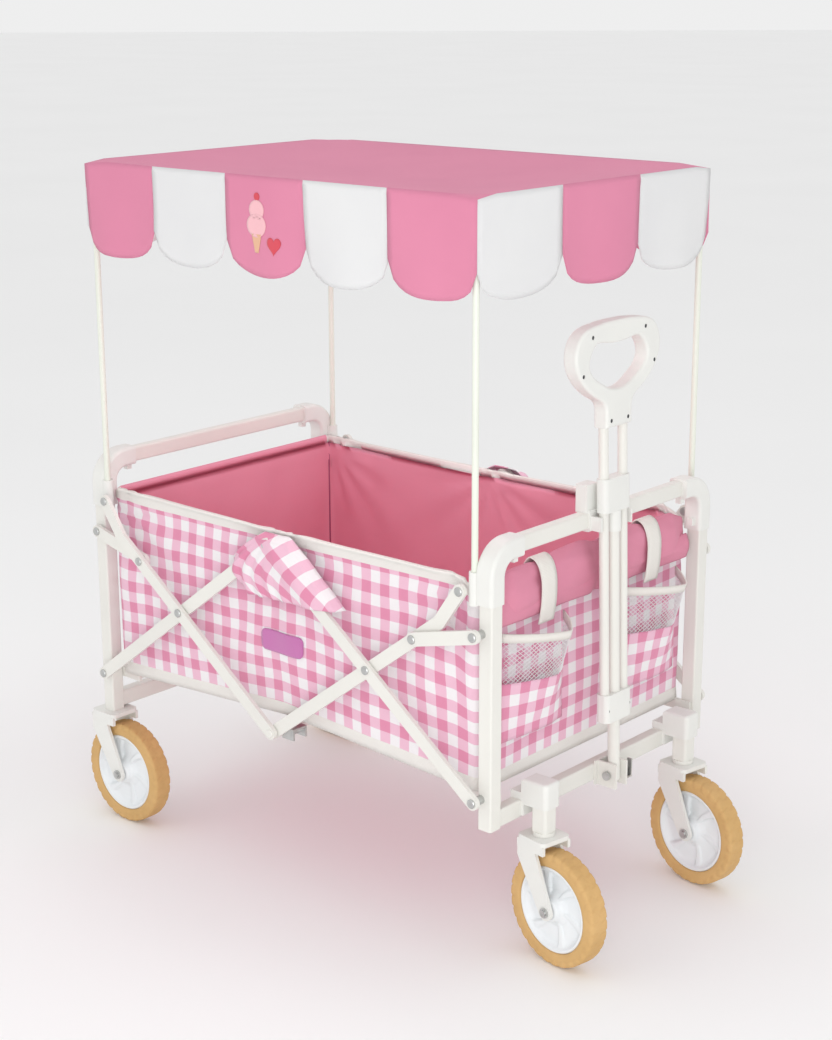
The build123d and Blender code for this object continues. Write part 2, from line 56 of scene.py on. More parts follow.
# ------------------------------------------------------------ places taken from the frame
SIDE_LOW, SIDE_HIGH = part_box("bag_side_near")
MIDDLE = (SIDE_LOW.x + SIDE_HIGH.x) / 2      # the tub's own middle along X
BAG_X = SIDE_HIGH.x - MIDDLE                 # half length of the tub
BAG_Y = -SIDE_LOW.y                          # half width of the tub
RIM_Z = SIDE_HIGH.z
JOINTS = {joint["name"]: joint for joint in frame["joints"]}
HINGE_X = JOINTS["floor_front"]["pos_m"][0] - MIDDLE
HINGE_Z = JOINTS["floor_front"]["pos_m"][2]
FLOOR_SLOPE = math.tan(math.radians(3.2))
TOP_CENTRE = Vector(JOINTS["scissor_c"]["pos_m"])

# how far the front frame comes in when folded: link B turns up about the rear foot
LINK = TOP_CENTRE - Vector(JOINTS["fold"]["pos_m"])

CHECK = 0.0385               # one pink and one white stripe of the gingham
WALL = 0.005                 # the tub's cloth with its stiffener
CORNER_R = 0.012             # radius of the tub's upright corners
LINK_GAP = 0.0045            # a joint cover's cloth stands this far off the link under it
COVER_CLOTH = 0.0016         # thickness of the joint covers and of the canopy
STRAP_Y = 0.135              # the roll's straps, to each side of the middle
POCKET_Y = 0.150             # the middles of the net pockets
POCKET_WIDE = 0.150


def place(x, y, z):
    """A point given from the tub's middle, in metres."""
    return Vector((MIDDLE + x, y, z))


def smooth_step(low, high, value):
    t = min(1.0, max(0.0, (value - low) / (high - low)))
    return t * t * (3 - 2 * t)


# ------------------------------------------------------------ materials
class Material:
    """A node material that is put together with a few short calls."""

    def __init__(self, name):
        self.block = bpy.data.materials.new(name)
        self.block.use_nodes = True
        self.tree = self.block.node_tree
        self.shader = self.tree.nodes["Principled BSDF"]
        self.place = self.add("ShaderNodeTexCoord").outputs["Object"]
        self.cloth = self.add("ShaderNodeTexCoord").outputs["UV"]

    def add(self, kind, **settings):
        node = self.tree.nodes.new(kind)
        for key, value in settings.items():
            setattr(node, key, value)
        return node

    def put(self, socket, value):
        if isinstance(value, bpy.types.NodeSocket):
            self.tree.links.new(value, socket)
        else:
            socket.default_value = value

    def maths(self, operation, first, second=0.0):
        node = self.add("ShaderNodeMath", operation=operation)
        self.put(node.inputs[0], first)
        self.put(node.inputs[1], second)
        return node.outputs[0]

    def noise(self, scale, detail=2.0, source=None, stretch=(1, 1, 1)):
        mapping = self.add("ShaderNodeMapping")
        mapping.inputs["Scale"].default_value = stretch
        self.put(mapping.inputs["Vector"], source or self.place)
        node = self.add("ShaderNodeTexNoise")
        self.put(node.inputs["Vector"], mapping.outputs[0])
        node.inputs["Scale"].default_value = scale
        node.inputs["Detail"].default_value = detail
        return node.outputs["Fac"]

    def ramp(self, value, *stops):
        node = self.add("ShaderNodeValToRGB")
        while len(node.color_ramp.elements) < len(stops):
            node.color_ramp.elements.new(0.5)
        for element, (at, colour) in zip(node.color_ramp.elements, stops):
            element.position = at
            element.color = (*colour, 1)
        self.put(node.inputs["Fac"], value)
        return node.outputs["Color"]

    def mix(self, amount, first, second, blend="MIX"):
        node = self.add("ShaderNodeMix", data_type="RGBA", blend_type=blend)
        self.put(node.inputs["Factor"], amount)
        for socket, value in ((node.inputs[6], first), (node.inputs[7], second)):
            self.put(socket, value if isinstance(value, bpy.types.NodeSocket) else (*value, 1))
        return node.outputs[2]

    def colour(self, value):
        self.put(self.shader.inputs["Base Color"], value)

    def rough(self, value, low, high):
        node = self.add("ShaderNodeMapRange")
        self.put(node.inputs["Value"], value)
        node.inputs["To Min"].default_value = low
        node.inputs["To Max"].default_value = high
        self.put(self.shader.inputs["Roughness"], node.outputs[0])

    def bump(self, height, distance, strength=1.0):
        node = self.add("ShaderNodeBump")
        self.put(node.inputs["Height"], height)
        node.inputs["Distance"].default_value = distance
        node.inputs["Strength"].default_value = strength
        before = self.shader.inputs["Normal"].links
        if before:
            self.put(node.inputs["Normal"], before[0].from_socket)
        self.put(self.shader.inputs["Normal"], node.outputs[0])

    def threads(self, pitch, along=0):
        """Rows of rounded threads across one direction of the cloth, from 0 to 1."""
        parts = self.add("ShaderNodeSeparateXYZ")
        self.put(parts.inputs[0], self.cloth)
        turns = self.maths("MULTIPLY", parts.outputs[along], 2 * math.pi / pitch)
        return self.maths("MULTIPLY_ADD", self.maths("SINE", turns), 0.5)

    def weave(self, pitch, distance):
        crossing = self.maths("MULTIPLY", self.threads(pitch, 0), self.threads(pitch, 1))
        self.bump(crossing, distance, 0.6)


def painted(name, colour, shade):
    m = Material(name)
    patch = m.noise(7, 3)
    m.colour(m.ramp(patch, (0.3, shade), (0.7, colour)))
    m.rough(m.noise(60, 3), 0.30, 0.46)
    m.bump(m.noise(900, 2), 0.0003, 0.25)
    m.bump(m.noise(45, 2), 0.0006, 0.15)
    m.shader.inputs["Coat Weight"].default_value = 0.15
    m.shader.inputs["Coat Roughness"].default_value = 0.3
    return m.block


def moulded(name, colour, shade):
    m = Material(name)
    m.colour(m.ramp(m.noise(11, 3), (0.3, shade), (0.7, colour)))
    m.rough(m.noise(140, 4), 0.36, 0.52)
    m.bump(m.noise(2200, 2), 0.0002, 0.3)
    m.shader.inputs["Specular IOR Level"].default_value = 0.45
    return m.block


def tyre_foam():
    m = Material("tyre_foam")
    fine = m.noise(350, 5)
    base = m.ramp(m.noise(18, 4), (0.25, (0.56, 0.335, 0.12)), (0.75, (0.66, 0.41, 0.165)))
    m.colour(m.mix(m.maths("MULTIPLY", fine, 0.25), base, (0.74, 0.50, 0.24)))
    m.rough(fine, 0.62, 0.85)
    m.bump(fine, 0.0004, 0.5)
    return m.block


def plated(name, colour, low, high):
    m = Material(name)
    brushed = m.noise(260, 3, stretch=(1, 1, 12))
    m.colour(m.ramp(m.noise(90, 4), (0.3, tuple(c * 0.8 for c in colour)), (0.7, colour)))
    m.shader.inputs["Metallic"].default_value = 1.0
    m.rough(brushed, low, high)
    m.bump(brushed, 0.0002, 0.25)
    return m.block


def fabric(name, light, dark, pitch=0.0009, sheen=0.25):
    m = Material(name)
    patch = m.noise(6, 4)
    slub = m.noise(420, 3, source=m.cloth, stretch=(1, 9, 1))
    base = m.ramp(patch, (0.25, dark), (0.75, light))
    m.colour(m.mix(m.maths("MULTIPLY", slub, 0.18), base, tuple(c * 0.86 for c in dark)))
    m.rough(slub, 0.72, 0.92)
    m.weave(pitch, 0.0003)
    m.bump(m.noise(55, 4), 0.0012, 0.35)
    m.shader.inputs["Sheen Weight"].default_value = sheen
    m.shader.inputs["Sheen Roughness"].default_value = 0.5
    return m.block


def gingham():
    m = Material("gingham")
    parts = m.add("ShaderNodeSeparateXYZ")
    m.put(parts.inputs[0], m.cloth)
    stripes = []
    for axis in (0, 1):
        wander = m.maths("MULTIPLY", m.noise(40, 2, source=m.cloth), 0.0012)
        turn = m.maths("MULTIPLY", m.maths("ADD", parts.outputs[axis], wander), 2 * math.pi / CHECK)
        wave = m.maths("MULTIPLY_ADD", m.maths("SINE", turn), 9.0)
        clipped = m.add("ShaderNodeClamp")
        m.put(clipped.inputs[0], wave)
        stripes.append(clipped.outputs[0])
    both = m.maths("MULTIPLY", m.maths("ADD", *stripes), 0.5)
    white, blush, pink = (0.88, 0.86, 0.87), (0.84, 0.50, 0.63), (0.74, 0.24, 0.39)
    plain = m.ramp(both, (0.0, white), (0.5, blush), (1.0, pink))
    slub = m.noise(500, 3, source=m.cloth, stretch=(1, 7, 1))
    m.colour(m.mix(m.maths("MULTIPLY", slub, 0.14), plain, (0.72, 0.52, 0.60)))
    m.rough(slub, 0.72, 0.9)
    m.weave(0.0010, 0.0003)
    m.bump(m.noise(60, 4), 0.0010, 0.35)
    m.shader.inputs["Sheen Weight"].default_value = 0.2
    return m.block


def webbing(name, colour, shade):
    m = Material(name)
    rib = m.threads(0.0022, 1)
    cross = m.threads(0.0011, 0)
    # the colour darkens in the grooves between the ribs, where the bump is lowest: painted shade
    m.colour(m.mix(m.maths("MULTIPLY", rib, 0.5), shade, colour))
    m.rough(cross, 0.7, 0.9)
    m.bump(rib, 0.0006, 0.7)
    m.bump(cross, 0.0003, 0.5)
    return m.block


FRAME = painted("cream_powder_coat", (0.80, 0.79, 0.74), (0.76, 0.75, 0.705))
POLE = painted("pole_paint", (0.80, 0.83, 0.74), (0.75, 0.78, 0.69))
PLASTIC = moulded("white_moulded", (0.81, 0.81, 0.775), (0.77, 0.77, 0.74))
RIM = moulded("white_rim", (0.84, 0.86, 0.87), (0.78, 0.81, 0.83))
TYRE = tyre_foam()
ZINC = plated("zinc_plate", (0.62, 0.63, 0.62), 0.28, 0.48)
DARK = plated("dark_screw", (0.10, 0.10, 0.11), 0.35, 0.5)
GINGHAM = gingham()
PINK = fabric("canopy_pink", (0.78, 0.265, 0.405), (0.73, 0.24, 0.375), sheen=0.06)
WHITE = fabric("canopy_white", (0.81, 0.81, 0.81), (0.77, 0.77, 0.78), sheen=0.1)
LINING = fabric("lining_pink", (0.88, 0.36, 0.47), (0.84, 0.33, 0.44), sheen=0.05)
ROLL = fabric("roll_pink", (0.74, 0.275, 0.385), (0.68, 0.24, 0.345), sheen=0.05)
# painted shade: the dark line of shade in the tub's corners, laid along the corner seams
SEAM_SHADE = fabric("seam_painted_shade", (0.42, 0.10, 0.19), (0.38, 0.08, 0.16), sheen=0.0)
BINDING = webbing("cream_binding", (0.90, 0.88, 0.84), (0.84, 0.81, 0.77))
TAPE = webbing("white_tape", (0.90, 0.87, 0.82), (0.83, 0.80, 0.75))
LABEL = fabric("label_satin", (0.62, 0.19, 0.47), (0.56, 0.16, 0.42), pitch=0.0006, sheen=0.4)
PRINT = fabric("print_red", (0.70, 0.07, 0.10), (0.64, 0.06, 0.09))
PALE_PRINT = fabric("print_pale", (0.90, 0.52, 0.56), (0.86, 0.47, 0.51))
CONE_PRINT = fabric("print_cone", (0.80, 0.47, 0.30), (0.74, 0.42, 0.26))
NET = moulded("net_thread", (0.90, 0.88, 0.89), (0.82, 0.79, 0.81))

FINISHES = {
    "frame": FRAME,
    "white_plastic": PLASTIC,
    "tyre": TYRE,
    "zinc": ZINC,
    "dark_screw": DARK,
    "pole": POLE,
    "canopy_fabric": PINK,
    "gingham": GINGHAM,
    "lining": LINING,
}


def finish_cad_nodes():
    """Every CAD node that stays gets its finish, and its curved faces are shaded smooth."""
    for part in frame["record"]["subparts"]:
        node = frame["nodes"][part["node"]]
        node.data.materials.clear()
        node.data.materials.append(FINISHES[part["material_slot"]])
        node.data.shade_smooth()
        node.data.set_sharp_from_angle(angle=math.radians(35))


# ------------------------------------------------------------ mesh helpers
def make(name, points, faces, *materials, marks=None, cloth=None):
    """A mesh piece: marks is each face's material, and cloth each corner's place on the flat cloth."""
    data = bpy.data.meshes.new(name)
    data.from_pydata([tuple(p) for p in points], [], faces)
    for material in materials:
        data.materials.append(material)
    if marks:
        data.polygons.foreach_set("material_index", marks)
    if cloth:
        layer = data.uv_layers.new(name="cloth")
        for face, corners in zip(data.polygons, cloth):
            for loop, corner in zip(face.loop_indices, corners):
                layer.data[loop].uv = corner
    data.shade_smooth()
    data.update()
    piece = bpy.data.objects.new(name, data)
    scene.collection.objects.link(piece)
    return piece


def sheet_of(name, columns, rows, point, cloth, *materials, mark=None, wrap=False):
    """A grid piece: point(i, j) is where a corner lies, and cloth(i, j) where it is on the flat cloth."""
    around = columns if wrap else columns + 1
    points = [point(i, j) for j in range(rows + 1) for i in range(around)]
    faces, marks, corners = [], [], []
    for j in range(rows):
        for i in range(columns):
            k = (i + 1) % around
            faces.append((j * around + i, j * around + k, (j + 1) * around + k, (j + 1) * around + i))
            marks.append(mark(i, j) if mark else 0)
            corners.append((cloth(i, j), cloth(i + 1, j), cloth(i + 1, j + 1), cloth(i, j + 1)))
    return make(name, points, faces, *materials, marks=marks, cloth=corners)


def settled(piece):
    """Puts what the piece's modifiers do into its own mesh."""
    graph = bpy.context.evaluated_depsgraph_get()
    data = bpy.data.meshes.new_from_object(piece.evaluated_get(graph), depsgraph=graph)
    piece.modifiers.clear()
    piece.vertex_groups.clear()
    piece.data = data
    return piece


def mended(piece, merge=None, fill=None):
    """Welds close corners, closes holes of up to fill sides, and turns every face outward."""
    work = bmesh.new()
    work.from_mesh(piece.data)
    if merge:
        bmesh.ops.remove_doubles(work, verts=work.verts, dist=merge)
    if fill:
        bmesh.ops.holes_fill(work, edges=work.edges, sides=fill)
    bmesh.ops.recalc_face_normals(work, faces=work.faces)
    work.to_mesh(piece.data)
    work.free()


def thicken(piece, thickness, offset=-1.0):
    solid = piece.modifiers.new("thickness", "SOLIDIFY")
    solid.thickness = thickness
    solid.offset = offset
    return settled(piece)


def hang(piece, held, frames=14, stiffness=30.0):
    """Lets a cloth piece settle under its weight while the held corners stay where they are."""
    piece.vertex_groups.new(name="held").add(held, 1.0, "REPLACE")
    cloth = piece.modifiers.new("settle", "CLOTH")
    cloth.settings.vertex_group_mass = "held"
    cloth.settings.quality = 7
    cloth.settings.mass = 0.12
    cloth.settings.tension_stiffness = stiffness
    cloth.settings.compression_stiffness = stiffness
    cloth.settings.shear_stiffness = stiffness / 2
    cloth.settings.bending_stiffness = 4.0
    cloth.settings.air_damping = 6.0
    cloth.point_cache.frame_start = 1
    cloth.point_cache.frame_end = frames
    for step in range(1, frames + 1):
        scene.frame_set(step)
    settled(piece)
    scene.frame_set(1)
    return piece


def ribbon(name, path, width, thickness, across, material):
    """A flat tape along path, as wide as width along the direction across."""
    lengths = [0.0]
    for a, b in zip(path, path[1:]):
        lengths.append(lengths[-1] + (b - a).length)
    across = Vector(across).normalized()

    def point(i, j):
        return path[i] + across * width * (j / 4 - 0.5)

    tape = sheet_of(name, len(path) - 1, 4, point, lambda i, j: (width * j / 4, lengths[i]), material)
    return thicken(tape, thickness, 0.0)


def spline(points, count):
    """count points, evenly spaced in parameter, on a Catmull-Rom curve through the given ones."""
    ends = [points[0] * 2 - points[1], *points, points[-1] * 2 - points[-2]]
    out = []
    for k in range(count):
        t = k / (count - 1) * (len(points) - 1)
        i = min(int(t), len(points) - 2)
        f = t - i
        a, b, c, d = ends[i:i + 4]
        out.append(0.5 * (2 * b + (c - a) * f + (2 * a - 5 * b + 4 * c - d) * f ** 2
                          + (3 * b - a - 3 * c + d) * f ** 3))
    return out


# ------------------------------------------------------------ tub
def around_tub(columns, radius=CORNER_R):
    """Points of the tub's outline from above: x, y, outward direction and length along the outline."""
    long_run, short_run = 2 * (BAG_X - radius), 2 * (BAG_Y - radius)
    bend = math.pi / 2 * radius
    runs = []
    start = Vector((-BAG_X, BAG_Y - radius))
    heading = Vector((0, -1))
    for run in (short_run, long_run, short_run, long_run):
        runs.append((start.copy(), heading.copy(), run))
        start += heading * (run + radius)
        heading = Vector((-heading.y, heading.x))
        start += heading * radius
    total = 2 * (long_run + short_run) + 4 * bend
    outline = []
    for i in range(columns):
        s = total * i / columns
        left = s
        for begin, direction, run in runs:
            out = Vector((direction.y, -direction.x))
            if left < run:
                outline.append((begin + direction * left, out, s))
                break
            left -= run
            if left < bend:
                turn = left / radius
                centre = begin + direction * run - out * radius
                out = out * math.cos(turn) + direction * math.sin(turn)
                outline.append((centre + out * radius, out, s))
                break
            left -= bend
    return outline, total


def floor_height(x):
    """Top of the floor arms, which rise gently to the middle."""
    return HINGE_Z + max(0.0, HINGE_X - abs(x)) * FLOOR_SLOPE + 0.0082


def crumple(x, y, z, seed):
    broad = noise.noise(Vector((x * 6, y * 6 + seed, z * 5)))
    fine = noise.noise(Vector((x * 17 + seed, y * 17, z * 9)))
    return broad * 0.6 + fine * 0.4


def bulge(x, y, out, v, z):
    """How far the tub's wall stands out: full in the middle of its height, drawn in at the links."""
    long_side = abs(out.y)
    full = 0.006 * math.sin(math.pi * min(1.0, v * 1.05)) * (0.6 + 0.4 * long_side)
    folds = 0.0085 * (crumple(x, y, z, 3.0) - 0.15) * math.sin(math.pi * v) ** 0.5
    pulled = 0.0
    for px, pz in ((0.0, RIM_Z - 0.015), (-BAG_X + 0.02, RIM_Z - 0.02), (BAG_X - 0.02, RIM_Z - 0.02)):
        away = math.hypot(x - px, z - pz)
        fan = math.atan2(z - pz, x - px)
        fades = math.exp(-away / 0.09) * (1 - math.exp(-away / 0.02))
        pulled += 0.0050 * fades * math.cos(13 * fan) * long_side
    return full + folds + pulled


def tub_shell():
    """The whole tub is one lofted shell: inner floor, lining, rim, outer cloth and underside."""
    columns = 336
    outline, total = around_tub(columns)
    rim_rows = [(0.0, 1.0), (0.5, 1.35), (1.0, 1.0)]
    wall = [j / 30 for j in range(31)]
    levels = []
    for k in range(9):
        levels.append(("inner_floor", k / 9))
    for v in wall[:-1]:
        levels.append(("inner", v))
    levels.append(("inner", 0.962))
    levels += [("rim", r) for r in rim_rows]
    levels.append(("outer", 0.985))
    levels.append(("outer", 0.952))
    for v in reversed(wall[:-2]):
        levels.append(("outer", v))
    for k in range(8, -1, -1):
        levels.append(("under", k / 9))

    def top_of(x, y, out):
        front = smooth_step(BAG_X - 0.05, BAG_X, x)
        sag = 0.004 * (1 - (x / BAG_X) ** 2) * abs(out.y)
        return RIM_Z - sag - 0.018 * front

    def point(i, j):
        (flat, out, _), (kind, v) = outline[i], levels[j]
        x, y = flat
        if kind in ("inner_floor", "under"):
            gap = 0.0 if kind == "under" else 0.002
            inset = WALL if kind == "inner_floor" else 0.0
            x, y = (x - out.x * inset) * max(v, 0.002), (y - out.y * inset) * max(v, 0.002)
            return place(x, y, floor_height(x) + gap)
        low = floor_height(x) - 0.002
        high = top_of(x, y, out)
        if kind == "rim":
            share, fat = v
            z = high + (0.003 if share == 0.5 else -0.001)
            shift = -WALL * (1 - share) * fat + (0.0015 if share == 1.0 else 0.0)
            if share == 0.0:
                shift -= 0.0015
            stand = bulge(x, y, out, 1.0, z)
            return place(x + out.x * (shift + stand), y + out.y * (shift + stand), z)
        z = low + (high - low) * v
        stand = bulge(x, y, out, v, z)
        if kind == "inner":
            stand += 0.0015 * crumple(x * 1.3, y * 1.3, z, 9.0) - WALL
            hem = smooth_step(0.87, 0.90, v) * (1 - smooth_step(0.95, 1.0, v))
            stand -= 0.0011 * hem * max(0.0, -out.x)
        edge = 0.0014 if (kind == "outer" and (v < 0.04 or v > 0.94)) else 0.0
        return place(x + out.x * (stand + edge), y + out.y * (stand + edge), z)

    def cloth(i, j):
        kind, v = levels[j]
        s = total * i / columns
        if kind in ("inner_floor", "under"):
            return (s, 0.1 * v)
        if kind == "rim":
            return (s, RIM_Z + 0.004 * (v[0] - 0.5))
        flat = outline[i % columns][0]
        up = (RIM_Z - HINGE_Z) * v
        drift = 0.0055 * math.sin(math.pi * v) ** 0.5
        across = drift * noise.noise(Vector((flat.x * 8, flat.y * 8, up * 10)))
        along = drift * noise.noise(Vector((flat.x * 9 + 5, flat.y * 9, up * 7)))
        return (s + across, HINGE_Z + up + along)

    def mark(i, j):
        first, second = levels[j], levels[j + 1]
        kinds = {first[0], second[0]}
        if "rim" in kinds or (kinds == {"outer"} and first[1] > 0.97):
            at_rear = outline[i][1].x < -0.9
            return 2 if at_rear else 1
        if kinds == {"outer"} and second[1] < 0.04:
            return 1
        if "outer" in kinds and "under" not in kinds:
            return 0
        return 2

    shell = sheet_of("tub_shell", columns, len(levels) - 1, point, cloth,
                     GINGHAM, BINDING, LINING, mark=mark, wrap=True)
    mended(shell, merge=0.00002, fill=columns + 1)
    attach(shell, "rear_frame")
    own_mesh(shell)
    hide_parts("bag_side_near", "bag_side_far", "bag_rear_panel", "bag_front_panel",
                "bag_floor_gusset")


def shaded_corner_seam(name, end, side):
    """The seam where two lining panels meet in a corner of the tub, drawn as a dark line: painted shade in the
    corner.
    """
    out = Vector((end, side)).normalized()
    spots = []
    for k in range(24):
        v = 0.02 + 0.95 * k / 23
        x = end * (BAG_X - CORNER_R) + out.x * CORNER_R
        y = side * (BAG_Y - CORNER_R) + out.y * CORNER_R
        z = floor_height(x) + (RIM_Z - 0.018 * (end > 0) - floor_height(x)) * v
        stand = bulge(x, y, out, v, z) + 0.0015 * crumple(x * 1.3, y * 1.3, z, 9.0) - WALL - 0.0012
        spots.append(place(x + out.x * stand, y + out.y * stand, z))
    # a dark ribbon along the corner seam: painted shade in the corner
    seam = ribbon(name, spots, 0.0026, 0.0010, (-out.y, out.x, 0), SEAM_SHADE)
    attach(seam, "rear_frame")
    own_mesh(seam)


def wall_point(side, x, z, lift):
    """A point on the outer face of a long wall, lifted off it by lift."""
    low = floor_height(x) - 0.002
    high = RIM_Z - 0.004 * (1 - (x / BAG_X) ** 2)
    v = (z - low) / (high - low)
    out = Vector((0, side))
    stand = bulge(x, side * BAG_Y, out, v, z) + lift
    return place(x, side * (BAG_Y + stand), z)


def side_label():
    """A blank woven label with rounded corners, sewn on the near wall."""
    x0, x1, z0, z1, columns, rows = -0.043, 0.048, 0.398, 0.434, 20, 10

    def point(i, j):
        u, v = 2 * i / columns - 1, 2 * j / rows - 1
        pinch = 0.10 * max(0.0, abs(v) - 0.5) ** 2 * 4
        x = (x0 + x1) / 2 + (x1 - x0) / 2 * u * (1 - pinch * abs(u) ** 6)
        z = (z0 + z1) / 2 + (z1 - z0) / 2 * v * (1 - 0.10 * abs(u) ** 10)
        return wall_point(-1, x, z, 0.0022)

    label = sheet_of("side_label", columns, rows, point,
                     lambda i, j: ((x1 - x0) * i / columns, (z1 - z0) * j / rows), LABEL)
    thicken(label, 0.0014)
    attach(label, "rear_frame")
    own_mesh(label)


def joint_cover(name, side):
    """The gusset of the side wall, drawn over the top centre joint and gathered over link B."""
    outer = max(-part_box("scissor_links_c")[0].y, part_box("scissor_links_c")[1].y) + LINK_GAP
    columns, rows = 52, 34
    top_z, foot_z = TOP_CENTRE.z + 0.015, TOP_CENTRE.z - 0.089

    def point(i, j):
        u, v = i / columns, j / rows
        left = -0.016 - 0.070 * math.sin(math.pi * min(1.0, v * 0.82)) - 0.006 * v
        right = 0.036 + 0.118 * v ** 0.95
        x = left + (right - left) * u
        z = top_z + (foot_z - top_z) * v + 0.010 * v * u ** 2
        tuck = smooth_step(0.0, 0.10, v) * smooth_step(0.0, 0.07, u) * smooth_step(0.0, 0.05, 1 - u)
        inner = BAG_Y + 0.010
        on_link = math.exp(-(((x - 0.8 * (top_z - z) * 1.35) / 0.030) ** 2))
        over = (outer - inner) * (0.35 + 0.65 * tuck) * (0.72 + 0.28 * on_link)
        gather = (1 - u) ** 2 * math.sin(52 * (u + 0.30 * v)) * 0.0040 * smooth_step(0.1, 0.5, v)
        drape = 0.0045 * math.sin(math.pi * u) * math.sin(math.pi * v)
        crease = 0.0022 * noise.noise(Vector((x * 30, z * 30 + side, 7)))
        y = inner + over + gather + drape + crease
        return Vector((TOP_CENTRE.x + x, side * y, z))

    def cloth(i, j):
        u, v = i / columns, j / rows
        x = (0.036 + 0.118 * v) * u - (0.008 + 0.080 * v) * (1 - u)
        z = -0.099 * v + 0.010 * v * u ** 2
        return (0.8 * x - 0.6 * z + 0.004, 0.6 * x + 0.8 * z + 0.012)

    cover = sheet_of(name, columns, rows, point, cloth, GINGHAM)
    thicken(cover, COVER_CLOTH, 0.0)
    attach(cover, "links_c")
    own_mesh(cover)


def floor_pad(end, body, node):
    """A floor board: a thin pad that is crowned between its sewn edge and its quilting seams."""
    low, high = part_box(node)
    angle = math.atan(FLOOR_SLOPE)
    near, far = sorted((low.x - MIDDLE, high.x - MIDDLE), key=abs)
    columns, rows = 44, 60
    half_y = high.y - 0.002

    def pad_height(u, v):
        edge = min(1.0, 12 * min(u, 1 - u)) * min(1.0, 16 * min(v, 1 - v))
        seam = 1 - 0.55 * math.exp(-((v - 0.5) / 0.012) ** 2) - 0.3 * math.exp(-((u - 0.5) / 0.012) ** 2)
        return 0.0055 * math.sqrt(max(edge, 0.0)) * seam

    def corner(i, j, sign):
        u, v = i / columns, j / rows
        x = near + (far - near) * u
        base = HINGE_Z + (HINGE_X - abs(x)) * FLOOR_SLOPE + 0.0165
        rise = pad_height(u, v) + 0.0006 * noise.noise(Vector((u * 9, v * 9, end)))
        return place(x, -half_y + 2 * half_y * v, base + sign * rise * math.cos(angle))

    top = [corner(i, j, 1) for j in range(rows + 1) for i in range(columns + 1)]
    bottom = [corner(i, j, -1) for j in range(rows + 1) for i in range(columns + 1)]
    count = len(top)
    faces, corners = [], []
    for j in range(rows):
        for i in range(columns):
            a = j * (columns + 1) + i
            ring = (a, a + 1, a + columns + 2, a + columns + 1)
            flat = [(0.3 * (p % (columns + 1)) / columns, 0.5 * (p // (columns + 1)) / rows) for p in ring]
            faces.append(ring)
            corners.append(flat)
            faces.append(tuple(count + p for p in reversed(ring)))
            corners.append(flat[::-1])
    pad = make(node + "_pad", top + bottom, faces, LINING, cloth=corners)
    mended(pad, merge=0.0009)
    pad.data.shade_smooth()
    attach(pad, body)
    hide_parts(node)


# ------------------------------------------------------------ front wall
FRONT_X = BAG_X + 0.006


def front_roll():
    """The front flap, rolled down over the front wall in two soft lengths with a dip at the middle."""
    low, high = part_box("bag_front_roll")
    half = high.y + 0.004
    centre_x = (low.x + high.x) / 2 - MIDDLE
    columns, rows = 40, 130

    def point(i, j):
        y = -half + 2 * half * j / rows
        turn = 2 * math.pi * i / columns
        strap = math.exp(-((abs(y) - STRAP_Y) / 0.022) ** 2)
        dip = math.exp(-(y / 0.022) ** 2)
        closing = min(1.0, 10 * min(j / rows, 1 - j / rows) + 0.25)
        deep = (0.0172 - 0.003 * strap - 0.008 * dip) * closing
        tall = (0.037 - 0.004 * strap - 0.006 * dip) * (0.55 + 0.45 * closing)
        lip = 0.004 * smooth_step(0.2, 1.0, -math.sin(turn)) * max(0.0, math.cos(turn))
        x = centre_x + 0.003 + deep * math.cos(turn) * (1 - 0.18 * math.sin(turn)) + lip
        z = 0.571 + tall * math.copysign(abs(math.sin(turn)) ** 0.8, math.sin(turn))
        z += 0.004 * math.cos(3.2 * y / half) - 0.003 * dip
        crease = 0.0034 * noise.noise(Vector((y * 24, z * 30, turn)))
        crease += 0.0034 * noise.noise(Vector((y * 9, z * 60, 4)))
        return place(x + crease, y, z + crease * 0.6)

    roll = sheet_of("front_roll", columns, rows, point,
                    lambda i, j: (0.14 * i / columns, 2 * half * j / rows), ROLL, wrap=True)
    mended(roll, fill=columns + 1)
    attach(roll, "front_frame")
    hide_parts("bag_front_roll")


def front_flap():
    """The hanging edge of the flap, below the roll."""
    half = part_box("bag_front_roll")[1].y + 0.004
    columns, rows = 120, 10

    def point(i, j):
        y = -half + 2 * half * i / columns
        v = j / rows
        wave = 0.004 * math.sin(y * 31 + 1) * v + 0.003 * noise.noise(Vector((y * 22, v, 1)))
        gap = 0.010 * math.exp(-(y / 0.012) ** 2) * v
        x = FRONT_X + 0.009 + 0.006 * math.sin(math.pi * v) + wave - gap
        return place(x, y, 0.565 - 0.040 * v + 0.3 * wave)

    flap = sheet_of("front_flap", columns, rows, point,
                    lambda i, j: (2 * half * i / columns, 0.045 * j / rows), ROLL)
    thicken(flap, 0.0022, 0.0)
    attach(flap, "front_frame")


def front_strap(name, y):
    """A webbing loop that holds the rolled flap."""
    path = spline([
        place(FRONT_X - 0.014, y, 0.578),
        place(FRONT_X - 0.012, y, 0.598),
        place(FRONT_X - 0.002, y, 0.611),
        place(FRONT_X + 0.013, y, 0.604),
        place(FRONT_X + 0.0215, y, 0.582),
        place(FRONT_X + 0.0225, y, 0.555),
        place(FRONT_X + 0.0205, y, 0.532),
        place(FRONT_X + 0.0165, y, 0.511),
    ], 34)
    strap = ribbon(name, path, 0.036, 0.0018, (0, 1, 0), TAPE)
    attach(strap, "front_frame")


def pocket_point(y_middle, u, v, stand=0.0):
    """A pocket is sewn at its sides and foot, and its mouth hangs open."""
    corner = 0.70
    rise = u / corner if u < corner else (1 - u) / (1 - corner)
    belly = 0.15 * math.sin(math.pi * u) ** 0.75 + 0.85 * (1 - (1 - rise) ** 1.25)
    out = (0.008 + 0.044 * v ** 1.2) * belly + 0.003
    sag = 0.010 * v * belly
    crease = 0.0016 * noise.noise(Vector((u * 8 + y_middle * 30, v * 6, 2)))
    return place(FRONT_X + out + crease + stand, y_middle + POCKET_WIDE * (u - 0.5), 0.340 + 0.172 * v - sag)


